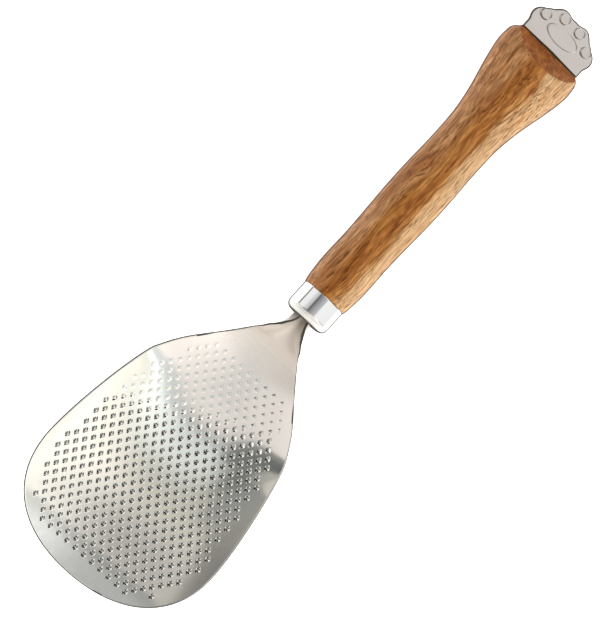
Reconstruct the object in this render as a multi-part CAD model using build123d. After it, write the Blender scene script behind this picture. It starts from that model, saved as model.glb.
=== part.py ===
"""Rice paddle: a stamped steel blade with a bump field, a ferrule, a wooden handle and a cast paw cap.

The paddle lies on its back on z = 0 with its front facing +Z, and +Y runs from the tip to the paw cap.
The origin is on that surface, under the middle of its length. Lengths are millimetres and angles degrees.
"""

import math
import os

from build123d import *

os.makedirs("parts", exist_ok=True)

# Lengths along the paddle, from the tip of the blade to the top of the paw cap
blade_length = 106.8
ferrule_length = 9.2
handle_length = 104.5
seam_gap = 0.35
cap_height = 13.2

# Height of the handle's centre line above the surface that the paddle lies on
axis_height = 11.0

# Plan of the blade, places measured from its tip
blade_half_width = 34.65
widest_from_tip = 29.0
shoulder_half_width = 28.0
shoulder_from_tip = 70.1
shoulder_angle = 27.7
neck_start_half_width = 9.3
neck_start_from_tip = 95.5
neck_start_angle = 37.2

# How far each end of the plan's curves holds its direction, as shares of the curve's width or run
tip_pull_share = 0.626
corner_pull_share = 0.615
flank_pull_share = 0.325
shoulder_pull_share = 0.105
flare_pull_share = 0.511
neck_pull_share = 0.73

# Dish of the blade: how high its middle and its edges lie
sheet_thickness = 1.0
dish_depth = 5.0
tip_lift = 1.65
tip_side_share = 0.35
tip_side_lift_share = 0.42
dish_bottom_from_tip = 36.0
ramp_start_from_tip = 58.0
ramp_start_lift = 0.65
ramp_end_from_tip = 73.0
ramp_end_lift = 2.0
ramp_end_dish_depth = 3.0
neck_start_lift = 4.3
neck_start_dish_depth = 0.5
blank_margin = 3.0

# Rolled neck, a tube left open along its top
neck_radius = 3.4
neck_drop = 2.4
neck_insert = 3.8
neck_wrap_angle = 150.0

# Sections between the flat root of the blade and the tube, as shares of the way and of what changes over it
neck_place_shares = (0.15, 0.3, 0.45, 0.6, 0.75, 0.88)
neck_half_width_shares = (0.842, 0.719, 0.547, 0.411, 0.342, 0.328)
neck_lift_shares = (0.24, 0.46, 0.66, 0.83, 0.95, 1.0)
neck_wrap_shares = (0.16, 0.29, 0.47, 0.67, 0.85, 0.96)

# Bump field, a diamond lattice of pillows with the lattice's own slanted sides
bump_pitch_across = 3.48
bump_pitch_along = 4.46
bump_foot_share = 0.725
bump_crown_share = 0.42
bump_height = 0.45
bump_root = 0.5
field_tip_margin = 7.2
field_side_margin = 4.9
field_neck_from_tip = 83.2

# Ferrule, a drawn cup with a closed rounded end
ferrule_radius = 7.75
ferrule_wall = 0.7
ferrule_end_wall = 1.0
ferrule_end_round = 2.2
fit_clearance = 0.05

# Wooden handle, places measured from the ferrule's lip
tenon_gap = 0.4
root_radius = 7.85
root_round = 0.25
collar_from_root = 9.0
collar_half_width = 8.85
collar_half_thickness = 8.4
grip_from_root = 27.0
grip_half_width = 8.9
grip_half_thickness = 8.5
palm_from_root = 48.0
palm_half_width = 9.4
palm_half_thickness = 8.7
waist_from_root = 74.0
waist_half_width = 9.7
waist_half_thickness = 8.9
swell_from_root = 84.0
swell_half_width = 11.6
swell_half_thickness = 9.7
flare_from_root = 98.0
flare_half_width = 14.4
flare_half_thickness = 11.0
butt_half_width = 13.9
butt_half_thickness = 10.8
facet_length = 7.2
facet_seat_half_height = 3.9
butt_round = 2.4

# Tang rod that runs from the rolled neck into the handle
tang_radius = 2.3
tang_depth = 72.0
tang_neck_overlap = 3.2
tang_chamfer = 0.6
bore_clearance = 0.1
bore_end_gap = 0.5

# Paw cap: a flat casting with four toes, places measured from its base
cap_half_thickness = 3.3
cap_half_width = 12.0
cap_body_half_height = 7.7
outer_toe_radius = 3.5
outer_toe_across = 9.3
outer_toe_height = 5.6
inner_toe_radius = 3.6
inner_toe_across = 4.0
valley_height = 12.7
valley_round = 1.0
cap_edge_round = 0.6
plinth_inset = 1.0

# Relief on the paw's front
pad_half_width = 6.1
pad_half_height = 2.7
pad_height = 5.7
pad_relief = 0.3
pad_edge_round = 0.2
toe_pad_half_width = 1.95
toe_pad_half_height = 1.75
inner_toe_pad_across = 3.2
inner_toe_pad_height = 10.6
outer_toe_pad_across = 8.8
outer_toe_pad_height = 7.6
toe_pad_relief = 0.55
toe_pad_edge_round = 0.45

# Stud that holds the cap to the handle
stud_radius = 2.0
stud_length = 24.0
stud_cap_depth = 8.0
stud_chamfer = 0.5

# Stations along Y and heights that follow from the sizes above
overall_length = blade_length + ferrule_length + handle_length + seam_gap + cap_height
tip_y = -overall_length / 2
ferrule_face_y = tip_y + blade_length
root_y = ferrule_face_y + ferrule_length
butt_y = root_y + handle_length
cap_base_y = butt_y + seam_gap
neck_start_y = tip_y + neck_start_from_tip
neck_end_y = ferrule_face_y + neck_insert
tenon_y = neck_end_y + tenon_gap
neck_z = axis_height - neck_drop
neck_inner_radius = neck_radius - sheet_thickness


def at(across, along, height=0):
    return Vector(across, along, height)


def heading(angle):
    """Unit direction in plan: 0 runs up the paddle, and more turns it towards the centre line."""
    return Vector(-math.sin(math.radians(angle)), math.cos(math.radians(angle)))


# The blade's plan: three curves a side, from the tip to the start of the neck


def outline_curves():
    tip = at(0, tip_y)
    widest = at(blade_half_width, tip_y + widest_from_tip)
    shoulder = at(shoulder_half_width, tip_y + shoulder_from_tip)
    neck = at(neck_start_half_width, neck_start_y)
    flank = shoulder_from_tip - widest_from_tip
    flare = neck_start_from_tip - shoulder_from_tip
    return [
        [
            tip,
            tip + at(blade_half_width * tip_pull_share, 0),
            widest - at(0, widest_from_tip * corner_pull_share),
            widest,
        ],
        [
            widest,
            widest + at(0, flank * flank_pull_share),
            shoulder - heading(shoulder_angle) * flank * shoulder_pull_share,
            shoulder,
        ],
        [
            shoulder,
            shoulder + heading(shoulder_angle) * flare * flare_pull_share,
            neck - heading(neck_start_angle) * flare * neck_pull_share,
            neck,
        ],
    ]


def blade_plan():
    right = [Edge.make_bezier(*points) for points in outline_curves()]
    left = [edge.mirror(Plane.YZ) for edge in right]
    neck = outline_curves()[-1][-1]
    chord = Edge.make_line(neck, at(-neck.X, neck.Y))
    return Face(Wire(right + [chord] + left))


# Sections of the sheet: strips between two arcs about one centre


def arc_strip(y, centre_z, inner_radius, half_angle):
    """Strip of sheet that reaches half_angle to each side of straight down."""
    sine = math.sin(math.radians(half_angle))
    cosine = math.cos(math.radians(half_angle))

    def three_points(radius):
        left = at(-radius * sine, y, centre_z - radius * cosine)
        right = at(radius * sine, y, centre_z - radius * cosine)
        return left, at(0, y, centre_z - radius), right

    outer_left, outer_low, outer_right = three_points(inner_radius + sheet_thickness)
    inner_left, inner_low, inner_right = three_points(inner_radius)
    return Face(
        Wire(
            [
                Edge.make_three_point_arc(outer_left, outer_low, outer_right),
                Edge.make_line(outer_right, inner_right),
                Edge.make_three_point_arc(inner_right, inner_low, inner_left),
                Edge.make_line(inner_left, outer_left),
            ]
        )
    )


def bow_radius(half_width, depth):
    """Radius of an arc whose ends, a half width out, stand a depth above its middle."""
    return (half_width**2 + depth**2) / (2 * depth)


def bowed_strip(from_tip, lift, radius, half_width):
    half_angle = math.degrees(math.asin(half_width / radius))
    return arc_strip(tip_y + from_tip, sheet_thickness + lift + radius, radius, half_angle)


def dish_stations():
    """Distance from the tip, lift of the middle and bow radius of the blank's sections."""
    full_bow = bow_radius(blade_half_width, dish_depth)
    ramp_start_bow = bow_radius(blade_half_width, (dish_depth + ramp_end_dish_depth) / 2)
    ramp_end_bow = bow_radius(blade_half_width, ramp_end_dish_depth)
    return [
        (-blank_margin, tip_lift, full_bow),
        (dish_bottom_from_tip * tip_side_share, tip_lift * tip_side_lift_share, full_bow),
        (dish_bottom_from_tip, 0, full_bow),
        (ramp_start_from_tip, ramp_start_lift, ramp_start_bow),
        (ramp_end_from_tip, ramp_end_lift, ramp_end_bow),
        (neck_start_from_tip, neck_start_lift, neck_start_bow()),
    ]


def neck_start_bow():
    return bow_radius(neck_start_half_width, neck_start_dish_depth)


def dished_sheet():
    blank_half_width = blade_half_width + blank_margin
    strips = [bowed_strip(*station, blank_half_width) for station in dish_stations()]
    trim_height = axis_height + dish_depth
    trim = extrude(blade_plan(), amount=trim_height, both=True, dir=(0, 0, 1))
    return loft(strips) & trim


def tube_section():
    return arc_strip(ferrule_face_y, neck_z, neck_inner_radius, neck_wrap_angle)


def neck_strips():
    """The flat root of the blade closes up into an open tube at the ferrule."""
    tube_low = neck_z - neck_radius
    run = blade_length - neck_start_from_tip
    quarter_turn = 90
    strips = [bowed_strip(neck_start_from_tip, neck_start_lift, neck_start_bow(), neck_start_half_width)]
    sections = zip(neck_place_shares, neck_half_width_shares, neck_lift_shares, neck_wrap_shares)
    for place, width, lift, wrap in sections:
        half_angle = neck_wrap_angle * wrap
        reach = math.sin(math.radians(min(half_angle, quarter_turn)))
        inner_radius = (neck_start_half_width * width) / reach - sheet_thickness / 2
        low = neck_start_lift + (tube_low - neck_start_lift) * lift
        centre_z = low + sheet_thickness + inner_radius
        strips.append(arc_strip(neck_start_y + run * place, centre_z, inner_radius, half_angle))
    return strips + [tube_section()]


# The bump field: pillows pressed up from the sheet on a diamond lattice


def plan_half_width(from_tip):
    """Half width of the blade's plan, read from its curves by halving the step."""
    y = tip_y + from_tip
    halvings = 40
    for start, first_pull, last_pull, end in outline_curves():
        if start.Y <= y <= end.Y:
            low = 0
            high = 1
            for _ in range(halvings):
                t = (low + high) / 2
                weights = ((1 - t) ** 3, 3 * t * (1 - t) ** 2, 3 * t * t * (1 - t), t**3)
                spot = sum((p * w for p, w in zip((start, first_pull, last_pull, end), weights)), Vector())
                if spot.Y < y:
                    low = t
                else:
                    high = t
            return spot.X
    return 0


def field_places():
    places = []
    rows = int(field_neck_from_tip / bump_pitch_along * 2) + 1
    columns = int(blade_half_width / bump_pitch_across * 2) + 1
    for row in range(rows):
        from_tip = field_neck_from_tip - row * bump_pitch_along / 2
        if from_tip < field_tip_margin:
            break
        reach = plan_half_width(from_tip) - field_side_margin
        for column in range(-columns, columns + 1):
            across = column * bump_pitch_across / 2
            if (row + column) % 2 == 0 and abs(across) <= reach:
                places.append((across, tip_y + from_tip))
    return places


def bump_section(height, cell_share):
    """Diamond whose corners point across and along, a share of the lattice's cell."""
    across = bump_pitch_across * cell_share / 2
    along = bump_pitch_along * cell_share / 2
    diamond = Polygon((across, 0), (0, along), (-across, 0), (0, -along))
    return (Plane.XY.offset(height) * diamond).face()


def bump():
    return loft([bump_section(-bump_root, bump_foot_share), bump_section(bump_height, bump_crown_share)])


def bumps_on(sheet):
    """One pillow at each place of the lattice, square to the sheet there."""
    front = sheet.faces().sort_by(SortBy.AREA)[-2:].sort_by(Axis.Z)[-1]
    pillow = bump()
    bumps = []
    for across, along in field_places():
        plumb = Axis(at(across, along), (0, 0, 1))
        foot, normal = front.find_intersection_points(plumb)[0]
        upright = normal if normal.Z > 0 else -normal
        seat = Plane(origin=foot, x_dir=at(upright.Z, 0, -upright.X), z_dir=upright)
        bumps.append(pillow.moved(seat.location))
    return bumps


def make_blade():
    sheet = dished_sheet()
    bumps = bumps_on(sheet)
    tube = extrude(tube_section(), amount=neck_insert, dir=(0, 1, 0))
    return (sheet + loft(neck_strips()) + tube).fuse(*bumps)


# Turned pieces and bores lie along Y


def bar(start_y, end_y, radius, height):
    face = Plane(origin=at(0, start_y, height), x_dir=(1, 0, 0), z_dir=(0, 1, 0)) * Circle(radius)
    return extrude(face, amount=end_y - start_y)


def rim(piece, place):
    """Edges of a bar's ring at its low (0) or high (-1) end along Y."""
    return piece.edges().filter_by(GeomType.CIRCLE).group_by(Axis.Y)[place]


def make_ferrule():
    """Cup over the handle's tenon; the neck comes in through its closed end, below the centre."""
    cup = bar(ferrule_face_y, root_y, ferrule_radius, axis_height)
    cup = fillet(rim(cup, 0), ferrule_end_round)
    hollow = bar(ferrule_face_y + ferrule_end_wall, root_y, ferrule_radius - ferrule_wall, axis_height)
    hollow = fillet(rim(hollow, 0), ferrule_end_round - ferrule_wall)
    neck_hole = bar(ferrule_face_y, neck_end_y, neck_radius + fit_clearance, neck_z)
    return cup - hollow - neck_hole


def make_tang():
    rod = bar(neck_end_y - tang_neck_overlap, root_y + tang_depth, tang_radius, neck_z)
    return chamfer(rim(rod, 0) + rim(rod, -1), tang_chamfer)


# Wooden handle


def handle_section(from_root, half_width, half_thickness):
    plane = Plane(origin=at(0, root_y + from_root, axis_height), x_dir=(1, 0, 0), z_dir=(0, 1, 0))
    return (plane * Ellipse(half_width, half_thickness)).face()


def facet_cutter(side):
    """Wedge that planes the front (+1) or back (-1) of the flare down to the cap's thickness."""
    foot_y = butt_y - facet_length
    slope = (flare_half_thickness - facet_seat_half_height) / facet_length
    beyond = facet_length
    corners = [
        at(0, foot_y - beyond, axis_height + side * (flare_half_thickness + slope * beyond)),
        at(0, butt_y + beyond, axis_height + side * (facet_seat_half_height - slope * beyond)),
        at(0, butt_y + beyond, axis_height + side * (flare_half_thickness + slope * beyond)),
    ]
    wedge = Face(Wire.make_polygon(corners, close=True))
    return extrude(wedge, amount=flare_half_width + beyond, both=True, dir=(1, 0, 0))


def make_handle():
    body = loft(
        [
            handle_section(0, root_radius, root_radius),
            handle_section(collar_from_root, collar_half_width, collar_half_thickness),
            handle_section(grip_from_root, grip_half_width, grip_half_thickness),
            handle_section(palm_from_root, palm_half_width, palm_half_thickness),
            handle_section(waist_from_root, waist_half_width, waist_half_thickness),
            handle_section(swell_from_root, swell_half_width, swell_half_thickness),
            handle_section(flare_from_root, flare_half_width, flare_half_thickness),
            handle_section(handle_length, butt_half_width, butt_half_thickness),
        ]
    )
    body = body - facet_cutter(1) - facet_cutter(-1)
    butt_edges = body.edges().filter_by_position(Axis.Y, butt_y, butt_y).sort_by(Axis.Z)[1:-1]
    body = fillet(butt_edges, butt_round)
    body = fillet(body.edges().group_by(Axis.Y)[0], root_round)
    tenon = bar(tenon_y, root_y, ferrule_radius - ferrule_wall - fit_clearance, axis_height)
    tang_end_y = root_y + tang_depth + bore_end_gap
    tang_bore = bar(tenon_y, tang_end_y, tang_radius + bore_clearance, neck_z)
    stud_end_y = cap_base_y + stud_cap_depth - stud_length - bore_end_gap
    stud_bore = bar(stud_end_y, butt_y, stud_radius + bore_clearance, axis_height)
    return body + tenon - tang_bore - stud_bore


# Paw cap


def cap_outline():
    """Front view of the cap: a block with a low arch over it and four toes round its top."""
    block = Pos(0, outer_toe_height / 2) * Rectangle(cap_half_width * 2, outer_toe_height)
    arch_centre = valley_height - cap_body_half_height
    arch = Pos(0, arch_centre) * Ellipse(cap_half_width, cap_body_half_height)
    outline = block + (arch & Pos(0, cap_height / 2) * Rectangle(cap_half_width * 2, cap_height))
    for side in (-1, 1):
        outline += Pos(side * outer_toe_across, outer_toe_height) * Circle(outer_toe_radius)
        outline += Pos(side * inner_toe_across, cap_height - inner_toe_radius) * Circle(inner_toe_radius)
    return outline


def relief(across, height, half_width, half_height, rise, edge_round):
    """Raised oval on the cap's front with a rounded edge."""
    face = Plane.XY.offset(cap_half_thickness - rise) * Pos(across, height) * Ellipse(half_width, half_height)
    oval = extrude(face, amount=rise * 2)
    return fillet(oval.edges().group_by(Axis.Z)[-1], edge_round)


def make_cap():
    """Cap in its own upright frame, then set on the end of the handle."""
    plate = extrude(cap_outline(), amount=cap_half_thickness, both=True)
    corners = plate.edges().filter_by(Axis.Z).sort_by(Axis.Y)
    plate = fillet(corners.filter_by(lambda edge: edge.center().Y > outer_toe_height), valley_round)
    plate = fillet(plate.edges().group_by(Axis.Z)[0] + plate.edges().group_by(Axis.Z)[-1], cap_edge_round)
    plate += relief(0, pad_height, pad_half_width, pad_half_height, pad_relief, pad_edge_round)
    toes = ((inner_toe_pad_across, inner_toe_pad_height), (outer_toe_pad_across, outer_toe_pad_height))
    for across, height in toes:
        for side in (-1, 1):
            oval = (toe_pad_half_width, toe_pad_half_height, toe_pad_relief, toe_pad_edge_round)
            plate += relief(side * across, height, *oval)
    plinth_half_width = cap_half_width - plinth_inset
    plinth_half_thickness = cap_half_thickness - plinth_inset
    plate += Box(plinth_half_width * 2, seam_gap * 2, plinth_half_thickness * 2)
    seated = Pos(0, cap_base_y, axis_height) * plate
    bore_end_y = cap_base_y + stud_cap_depth + bore_end_gap
    return seated - bar(butt_y, bore_end_y, stud_radius + bore_clearance, axis_height)


def make_stud():
    start_y = cap_base_y + stud_cap_depth - stud_length
    stud = bar(start_y, cap_base_y + stud_cap_depth, stud_radius, axis_height)
    return chamfer(rim(stud, 0) + rim(stud, -1), stud_chamfer)


pieces = {
    "blade": make_blade,
    "ferrule": make_ferrule,
    "tang_rod": make_tang,
    "handle": make_handle,
    "paw_cap": make_cap,
    "cap_stud": make_stud,
}

for name, make in pieces.items():
    piece = make()
    export_step(piece, f"parts/{name}.step")
    print(name, round(piece.volume, 1), "mm3")
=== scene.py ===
"""Rice paddle in a white studio: a stamped steel blade, a drawn ferrule, an oiled wooden handle and a cast paw cap.

The file is laid out as an add-on and run as a script. Sizes are in metres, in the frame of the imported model: the
paddle lies on z = 0, its front faces +Z and +Y runs from the blade's tip to the paw cap.
"""

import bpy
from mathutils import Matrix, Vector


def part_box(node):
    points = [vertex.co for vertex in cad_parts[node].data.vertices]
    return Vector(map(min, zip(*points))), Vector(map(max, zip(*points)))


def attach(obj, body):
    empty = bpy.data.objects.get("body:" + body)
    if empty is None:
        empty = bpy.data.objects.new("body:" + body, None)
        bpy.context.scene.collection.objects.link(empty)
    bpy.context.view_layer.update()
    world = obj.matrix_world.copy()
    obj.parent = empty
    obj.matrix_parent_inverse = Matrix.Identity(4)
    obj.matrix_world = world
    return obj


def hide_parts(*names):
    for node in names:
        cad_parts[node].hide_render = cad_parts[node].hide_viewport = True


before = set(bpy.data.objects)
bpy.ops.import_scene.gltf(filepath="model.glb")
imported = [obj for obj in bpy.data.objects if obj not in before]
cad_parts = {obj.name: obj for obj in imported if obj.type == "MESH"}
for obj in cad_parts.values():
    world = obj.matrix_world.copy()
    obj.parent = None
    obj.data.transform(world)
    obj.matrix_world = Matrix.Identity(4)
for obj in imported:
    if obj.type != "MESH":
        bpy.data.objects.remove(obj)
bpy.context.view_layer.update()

import math
from functools import partial

import bmesh
import bpy
from bpy.props import FloatProperty, FloatVectorProperty, PointerProperty
from mathutils import Matrix, Vector
from mathutils.geometry import delaunay_2d_cdt

bl_info = {
    "name": "Rice Paddle",
    "version": (1, 0, 0),
    "blender": (4, 5, 0),
    "location": "3D View > Sidebar > Paddle",
    "description": "Dresses the packed rice paddle and sets it in a white studio",
    "category": "Object",
}

MM = 0.001
BODY = "root"

# Stations along the paddle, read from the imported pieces
TIP_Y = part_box("blade")[0][1]
FERRULE_FACE_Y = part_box("ferrule")[0][1]
ROOT_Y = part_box("ferrule")[1][1]
BUTT_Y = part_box("handle")[1][1]
CAP_TOP_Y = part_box("paw_cap")[1][1]
NECK_END_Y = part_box("blade")[1][1]


def in_metres(*rows):
    """Rows of sizes in millimetres, made metres."""
    return [tuple(length * MM for length in row) for row in rows]


def box_radius(box):
    """Half of a box's width, which is a round piece's radius."""
    return (box[1][0] - box[0][0]) / 2


def box_height(box):
    """Height of a box's middle."""
    return (box[0][2] + box[1][2]) / 2


FERRULE_RADIUS = box_radius(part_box("ferrule"))
AXIS_Z = box_height(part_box("ferrule"))
NECK_Z = box_height(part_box("tang_rod"))


def linear(hex_colour):
    """Scene-linear colour, with an alpha of 1, of an sRGB colour written as #RRGGBB."""
    shares = [int(hex_colour[place : place + 2], 16) / 255 for place in (1, 3, 5)]
    return [s / 12.92 if s <= 0.04045 else ((s + 0.055) / 1.055) ** 2.4 for s in shares] + [1.0]


def colour(name, description, hex_colour):
    return FloatVectorProperty(
        name=name, description=description, subtype="COLOR", size=4, min=0, max=1, default=linear(hex_colour)
    )


def size(name, description, millimetres):
    return FloatProperty(
        name=name, description=description, subtype="DISTANCE", unit="LENGTH", default=millimetres * MM
    )


def share(name, description, default):
    return FloatProperty(name=name, description=description, subtype="FACTOR", min=0, max=1, default=default)


def angle(name, description, degrees):
    return FloatProperty(name=name, description=description, subtype="ANGLE", default=math.radians(degrees))


# Settings that a user would change


class BladeSettings(bpy.types.PropertyGroup):
    sheet: size("Sheet", "Thickness of the steel sheet", 1.0)
    edge_round: size("Edge round", "Radius of the tumbled edge", 0.38)
    pitch_across: size("Pitch across", "Width of one cell of the diamond lattice", 3.48)
    pitch_along: size("Pitch along", "Length of one cell of the diamond lattice", 4.46)
    foot_side: size("Foot side", "Side of a pillow where it leaves the sheet", 1.64)
    crown_side: size("Crown side", "Side of a pillow's crown", 0.5)
    bump_height: size("Bump height", "Height of a pillow's flat crown over the sheet", 0.34)
    steel: colour("Steel", "Reflection of the polished sheet", "#EDEDEC")
    roughness: share("Roughness", "Roughness of the polished sheet", 0.07)


class FerruleSettings(bpy.types.PropertyGroup):
    wall: size("Wall", "Thickness of the drawn cup", 0.7)
    end_round: size("End round", "Outer radius of the cup's closed end", 2.2)
    steel: colour("Steel", "Reflection of the mirror polish", "#F4F4F4")
    roughness: share("Roughness", "Roughness of the mirror polish", 0.05)


class HandleSettings(bpy.types.PropertyGroup):
    facet_edge: size("Facet edge", "Softness of the planed facet's edge", 0.35)
    heartwood: colour("Heartwood", "Main colour of the wood", "#BC7A3C")
    streak: colour("Streak", "Dark growth lines", "#8A4B1C")
    # The right side's light band is a painted sheen and the left side's brown is painted shade
    painted_sheen: colour("Painted_sheen", "Light band along the right side", "#E3B583")
    shaded: colour("Shaded side", "Brown along the left side", "#B87A48")
    pore: colour("Pore", "Open pores", "#5A2E10")
    roughness: share("Roughness", "Roughness of the oiled surface", 0.42)


class CapSettings(bpy.types.PropertyGroup):
    nickel: colour("Nickel", "Reflection of the satin plating", "#E2DCDD")
    roughness: share("Roughness", "Roughness of the satin plating", 0.36)
    pad_relief: size("Pad relief", "Height of the paw's pad", 0.16)
    toe_relief: size("Toe relief", "Height of the toes", 0.5)


class StageSettings(bpy.types.PropertyGroup):
    floor: colour("Floor", "Colour of the floor", "#FAFAFA")
    floor_side: size("Floor side", "Side of the square floor", 6000)
    distance: size("Distance", "Distance from the camera to its target", 700)
    target_x: size("Target across", "Place of the camera's target, across", -1.863)
    target_y: size("Target along", "Place of the camera's target, along", -9.099)
    target_z: size("Target height", "Height of the camera's target", 8)
    view_height: size("View height", "Height of the view at the target's distance", 194.44)
    turn: angle("Turn", "Camera's turn to the left", 10)
    tilt: angle("Tilt", "Camera's tilt to the tip", 4.831)
    roll: angle("Roll", "Camera's roll", 42.256)
    dome: FloatProperty(name="Dome", description="Strength of the studio's dome", default=1.0, min=0)


# Nodes and meshes

# Kinds of node that come up often
ATTRIBUTE = "ShaderNodeAttribute"
BUMP = "ShaderNodeBump"
MATHS = "ShaderNodeMath"
MATTE = "ShaderNodeBsdfDiffuse"
MIX = "ShaderNodeMix"
NOISE = "ShaderNodeTexNoise"
OUTPUT = "ShaderNodeOutputMaterial"
PLACE = "ShaderNodeTexCoord"
PRINCIPLED = "ShaderNodeBsdfPrincipled"
RAMP = "ShaderNodeValToRGB"
RANGE = "ShaderNodeMapRange"
SPLIT = "ShaderNodeSeparateXYZ"
STRETCH = "ShaderNodeMapping"
VECTORS = "ShaderNodeVectorMath"
# Setting of a range whose ends are rounded off
SOFT = {"interpolation_type": "SMOOTHSTEP"}

# Points closer than this become one
MERGE = 2e-6
BORE_SIDES = 64


def add_node(tree, kind, inputs=(), stops=(), **settings):
    """A new node with its settings, its inputs' values or links by name or place, and its ramp's stops."""
    node = tree.nodes.new(kind)
    for name, value in settings.items():
        setattr(node, name, value)
    for key, value in dict(inputs if isinstance(inputs, dict) else enumerate(inputs)).items():
        if isinstance(value, bpy.types.Node):
            value = next(socket for socket in value.outputs if socket.enabled)
        if isinstance(value, bpy.types.NodeSocket):
            tree.links.new(value, node.inputs[key])
        else:
            node.inputs[key].default_value = value
    if stops:
        elements = node.color_ramp.elements
        elements.remove(elements[0])
        elements[0].position, elements[0].color = stops[0]
        for at, tone in stops[1:]:
            elements.new(at).color = tone
    return node


def new_material(name):
    """A material with an empty tree, and add_node for that tree."""
    material = bpy.data.materials.new(name)
    material.use_nodes = True
    material.node_tree.nodes.clear()
    return material, partial(add_node, material.node_tree)


def new_object(name, data):
    """An object of the scene, at the origin."""
    piece = bpy.data.objects.new(name, data)
    bpy.context.scene.collection.objects.link(piece)
    return piece


def weld(mesh, dissolve=True):
    """Merges the mesh's doubled points, turns its faces outward and smooths them."""
    grid = bmesh.new()
    grid.from_mesh(mesh)
    bmesh.ops.remove_doubles(grid, verts=grid.verts, dist=MERGE)
    if dissolve:
        bmesh.ops.dissolve_degenerate(grid, edges=grid.edges, dist=MERGE)
    bmesh.ops.recalc_face_normals(grid, faces=grid.faces)
    grid.to_mesh(mesh)
    grid.free()
    mesh.shade_smooth()


def new_piece(name, points, faces, material):
    """A closed mesh object at the origin, merged, with outward normals and smooth faces."""
    mesh = bpy.data.meshes.new(name)
    mesh.from_pydata(points, [], faces)
    weld(mesh)
    mesh.materials.append(material)
    return new_object(name, mesh)


def bake(piece):
    """Turns a piece's live modifiers into its plain mesh."""
    graph = bpy.context.evaluated_depsgraph_get()
    mesh = bpy.data.meshes.new_from_object(piece.evaluated_get(graph), preserve_all_data_layers=True, depsgraph=graph)
    old = piece.data
    piece.modifiers.clear()
    piece.data = mesh
    bpy.data.meshes.remove(old)
    mesh.name = piece.name


def circle(radius, y, sides, height=AXIS_Z):
    """Points of a circle about a line along Y."""
    turns = (2 * math.pi * side / sides for side in range(sides))
    return [(radius * math.cos(turn), y, height + radius * math.sin(turn)) for turn in turns]


def quarter(steps):
    """Angles from 0 to a quarter turn."""
    return [math.pi / 2 * step / steps for step in range(steps + 1)]


def bridge(loops):
    """Points and quads of a skin through loops of as many points each."""
    count = len(loops[0])
    points = [point for loop in loops for point in loop]
    faces = []
    for row in range(len(loops) - 1):
        for column in range(count):
            after = (column + 1) % count
            faces.append(
                (row * count + column, row * count + after, (row + 1) * count + after, (row + 1) * count + column)
            )
    return points, faces


def bore(piece, name, start_y, end_y, radius, height):
    """Cuts a round bore along Y out of the piece."""
    points, faces = bridge([circle(radius, y, BORE_SIDES, height) for y in (start_y, end_y)])
    faces += [tuple(range(BORE_SIDES)), tuple(range(2 * BORE_SIDES - 1, BORE_SIDES - 1, -1))]
    cutter = new_piece(name, points, faces, piece.data.materials[0])
    boolean = piece.modifiers.new("bore", "BOOLEAN")
    boolean.operation = "DIFFERENCE"
    boolean.solver = "EXACT"
    boolean.object = cutter
    bake(piece)
    bpy.data.objects.remove(cutter)


def shade_soft(piece, degrees):
    """Smooth faces, with sharp edges where the surface turns by more than the angle."""
    piece.data.shade_smooth()
    piece.data.set_sharp_from_angle(angle=math.radians(degrees))


def seat(piece, slot, *nodes):
    """The piece rides on the paddle's body and stands for its CAD nodes."""
    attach(piece, BODY)
    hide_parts(*nodes)


def through(stations, place):
    """Smooth value at a place among (place, value) stations, with no overshoot at their ends."""
    last = len(stations) - 1
    index = 0
    while index < last - 1 and place > stations[index + 1][0]:
        index += 1

    def slope(spot):
        before, after = stations[max(spot - 1, 0)], stations[min(spot + 1, last)]
        return (after[1] - before[1]) / (after[0] - before[0])

    (start, low), (end, high) = stations[index], stations[index + 1]
    span = end - start
    t = (place - start) / span
    return (
        (2 * t**3 - 3 * t**2 + 1) * low
        + (t**3 - 2 * t**2 + t) * span * slope(index)
        + (3 * t**2 - 2 * t**3) * high
        + (t**3 - t**2) * span * slope(index + 1)
    )


# Materials

SATIN_ROUGHNESS = 0.34
SATIN_SCATTER = 0.75
CROWN_SHADE_ROUGHNESS = 0.24
CROWN_SHADE_GREY = "#6B6E69"
# Depth that a bump node's full height stands for
FINE_RELIEF = 0.02 * MM


def dimmed(tone, part):
    """The colour, darker by a share of its light."""
    return [value * part for value in tone[:3]] + [1.0]


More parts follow.
